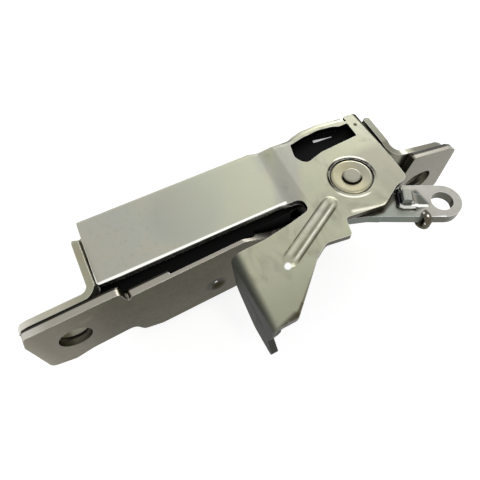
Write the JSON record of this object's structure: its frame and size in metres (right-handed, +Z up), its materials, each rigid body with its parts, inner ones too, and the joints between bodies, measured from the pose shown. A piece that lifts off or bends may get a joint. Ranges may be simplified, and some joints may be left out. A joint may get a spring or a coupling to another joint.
{
  "type": "side door lock",
  "caption": "Pressed-steel side door lock with a bolt ear at each end, a riveted cover with a side arm, an eyelet release lever and a forked catch",
  "frame": {"origin": "middle of the bounding box", "axes": "+X runs along the lock from the left ear to the right ear (its longest extent), +Y from the front plate to the back wall, +Z up out of the cover's flat face (its shortest extent)"},
  "size_m": [0.1398, 0.0576, 0.0354],
  "materials": {
    "front_plate": "satin yellowish zinc, passivated",
    "rear_bracket": "satin yellowish zinc, passivated",
    "cover_plate": "satin yellowish zinc, passivated",
    "pivot_rivet": "turned, cream zinc",
    "release_lever": "smooth bright zinc",
    "lever_spring": "dark oiled spring wire",
    "spring_clip": "dark oiled spring wire",
    "inner_cover": "black, matte",
    "catch": "black plastic coat over steel",
    "pawl": "satin zinc",
    "catch_pin": "turned steel",
    "pawl_pin": "turned steel",
    "inner_plate": "satin zinc",
    "catch_spring": "bare spring wire",
    "pawl_spring": "bare spring wire",
    "stop_buffer": "black, matte",
    "spring_washer": "plain steel",
    "flange_rivet_left": "plain steel",
    "flange_rivet_right": "plain steel"
  },
  "bodies": {
    "case": {"front_plate": "front_plate", "rear_bracket": "rear_bracket", "cover_plate": "cover_plate", "pivot_rivet": "pivot_rivet", "inner_cover": "inner_cover", "catch_pin": "catch_pin", "pawl_pin": "pawl_pin", "inner_plate": "inner_plate", "catch_spring": "catch_spring", "pawl_spring": "pawl_spring", "stop_buffer": "stop_buffer", "spring_washer": "spring_washer", "flange_rivet_left": "flange_rivet_left", "flange_rivet_right": "flange_rivet_right"},
    "lever": {"release_lever": "release_lever", "spring_clip": "spring_clip", "lever_spring": "lever_spring"},
    "pawl": {"pawl": "pawl"},
    "catch": {"catch": "catch"}
  },
  "joints": [
    {"name": "lever_turn", "type": "hinge", "parent": "case", "child": "lever", "pos_m": [0.02893, 0.00061, 0.013], "axis": [0, 0, 1], "range_deg": [-28, 0], "stiffness_Nm_per_rad": 0.6, "springref_deg": 20.05},
    {"name": "pawl_turn", "type": "hinge", "parent": "case", "child": "pawl", "pos_m": [0.03573, 0.00666, -0.0086], "axis": [0, 1, 0], "range_deg": [0, 24.5]},
    {"name": "catch_turn", "type": "hinge", "parent": "case", "child": "catch", "pos_m": [0.01273, 0.00666, -0.0017], "axis": [0, 1, 0], "range_deg": [-55, 0], "stiffness_Nm_per_rad": 0.08, "springref_deg": 17.19}
  ],
  "couplings": [
    {"joint": "pawl_turn", "follows": "lever_turn", "ratio": -0.85714}
  ]
}
